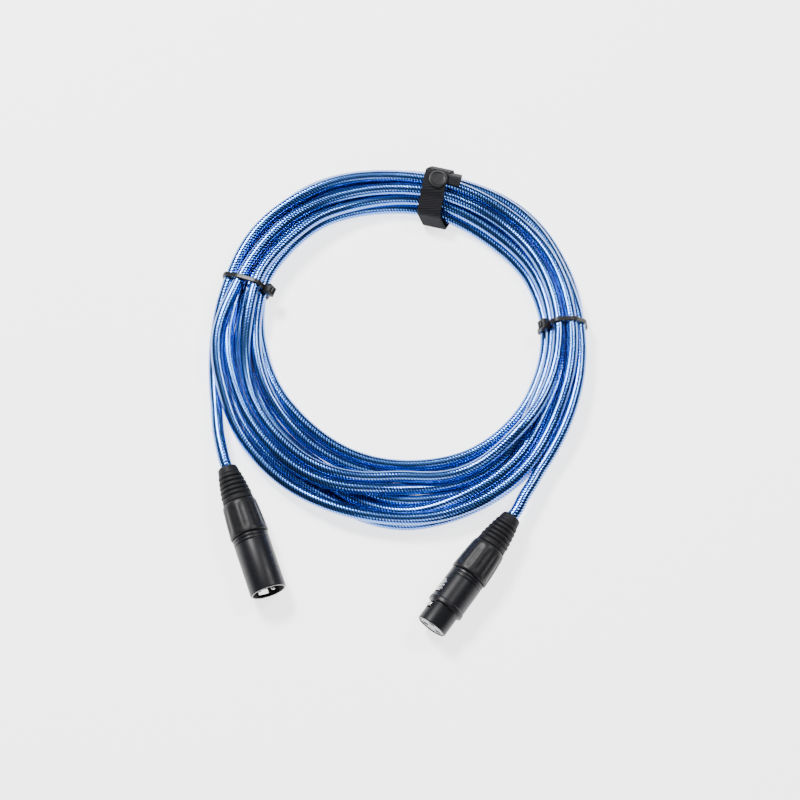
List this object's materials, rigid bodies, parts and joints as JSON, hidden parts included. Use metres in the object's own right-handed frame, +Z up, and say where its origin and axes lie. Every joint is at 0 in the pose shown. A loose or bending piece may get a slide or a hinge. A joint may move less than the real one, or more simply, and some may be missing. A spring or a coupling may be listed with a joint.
{
  "type": "xlr microphone cable",
  "caption": "Microphone cable wound in a flat coil, tied and strapped, with a pin connector at one end and a socket connector at the other.",
  "frame": {"origin": "middle of the whole object on the surface that it lies on", "axes": "+Z up, out of the coil; +Y away from the two connectors, along the longest side; +X to the right"},
  "size_m": [0.2015, 0.2662, 0.021],
  "materials": {
    "jacket": "clear gloss jacket over blue metallic braid",
    "nylon": "satin black nylon",
    "webbing": "black woven webbing",
    "boot_rubber": "matte black rubber",
    "cap_plastic": "satin black",
    "clamp_plastic": "matte",
    "wire_red": "gloss",
    "wire_white": "gloss",
    "wire_drain": "tinned copper strands",
    "black_metal": "satin black coated zinc",
    "carrier_black": "matte",
    "carrier_grey": "matte grey",
    "bright_metal": "nickel plated"
  },
  "bodies": {
    "root": {"cable_coil": "jacket", "male_tail": "jacket", "female_tail": "jacket", "tie_left": "nylon", "tie_right": "nylon", "strap_band": "webbing", "strap_rivet_cap": "nylon", "strap_rivet_back": "nylon", "male_chuck": "clamp_plastic", "male_wire_red": "wire_red", "male_wire_white": "wire_white", "male_wire_drain": "wire_drain", "male_shell": "black_metal", "male_insert": "carrier_black", "male_earth_spring": "bright_metal", "male_pin_1": "bright_metal", "male_pin_2": "bright_metal", "male_pin_3": "bright_metal", "female_chuck": "clamp_plastic", "female_wire_red": "wire_red", "female_wire_white": "wire_white", "female_wire_drain": "wire_drain", "female_shell": "black_metal", "female_insert": "carrier_grey", "female_latch_pin": "bright_metal", "female_earth_spring": "bright_metal", "female_socket_1": "bright_metal", "female_socket_2": "bright_metal", "female_socket_3": "bright_metal"},
    "strap_flap": {"strap_flap": "webbing"},
    "male_boot": {"male_boot": "boot_rubber"},
    "male_cap": {"male_cap": "cap_plastic"},
    "female_boot": {"female_boot": "boot_rubber"},
    "female_cap": {"female_cap": "cap_plastic"},
    "female_latch": {"female_latch": "bright_metal", "female_latch_spring": "bright_metal"}
  },
  "joints": [
    {"name": "strap_flap_peel", "type": "hinge", "parent": "root", "child": "strap_flap", "pos_m": [0.02262, 0.12231, 0.01989], "axis": [0.9744, -0.225, 0], "range_deg": [0, 90]},
    {"name": "male_boot_slide", "type": "slide", "parent": "root", "child": "male_boot", "axis": [-0.3256, 0.9455, 0], "range_m": [0, 0.0031]},
    {"name": "male_cap_unscrew", "type": "hinge", "parent": "male_boot", "child": "male_cap", "pos_m": [-0.08324, -0.06235, 0.0102], "axis": [-0.3256, 0.9455, 0], "range_deg": [0, 1080]},
    {"name": "female_boot_slide", "type": "slide", "parent": "root", "child": "female_boot", "axis": [0.585, 0.8111, 0], "range_m": [0, 0.0031]},
    {"name": "female_cap_unscrew", "type": "hinge", "parent": "female_boot", "child": "female_cap", "pos_m": [0.04641, -0.08634, 0.0102], "axis": [0.585, 0.8111, 0], "range_deg": [0, 1080]},
    {"name": "female_latch_press", "type": "hinge", "parent": "root", "child": "female_latch", "pos_m": [0.02694, -0.10417, 0.0133], "axis": [0.4055, -0.2925, 0.866], "range_deg": [0, 4], "stiffness_Nm_per_rad": 0.4, "springref_deg": -1.15}
  ],
  "couplings": [
    {"joint": "male_boot_slide", "follows": "male_cap_unscrew", "m_per_rad": 0.00015915},
    {"joint": "female_boot_slide", "follows": "female_cap_unscrew", "m_per_rad": 0.00015915}
  ]
}
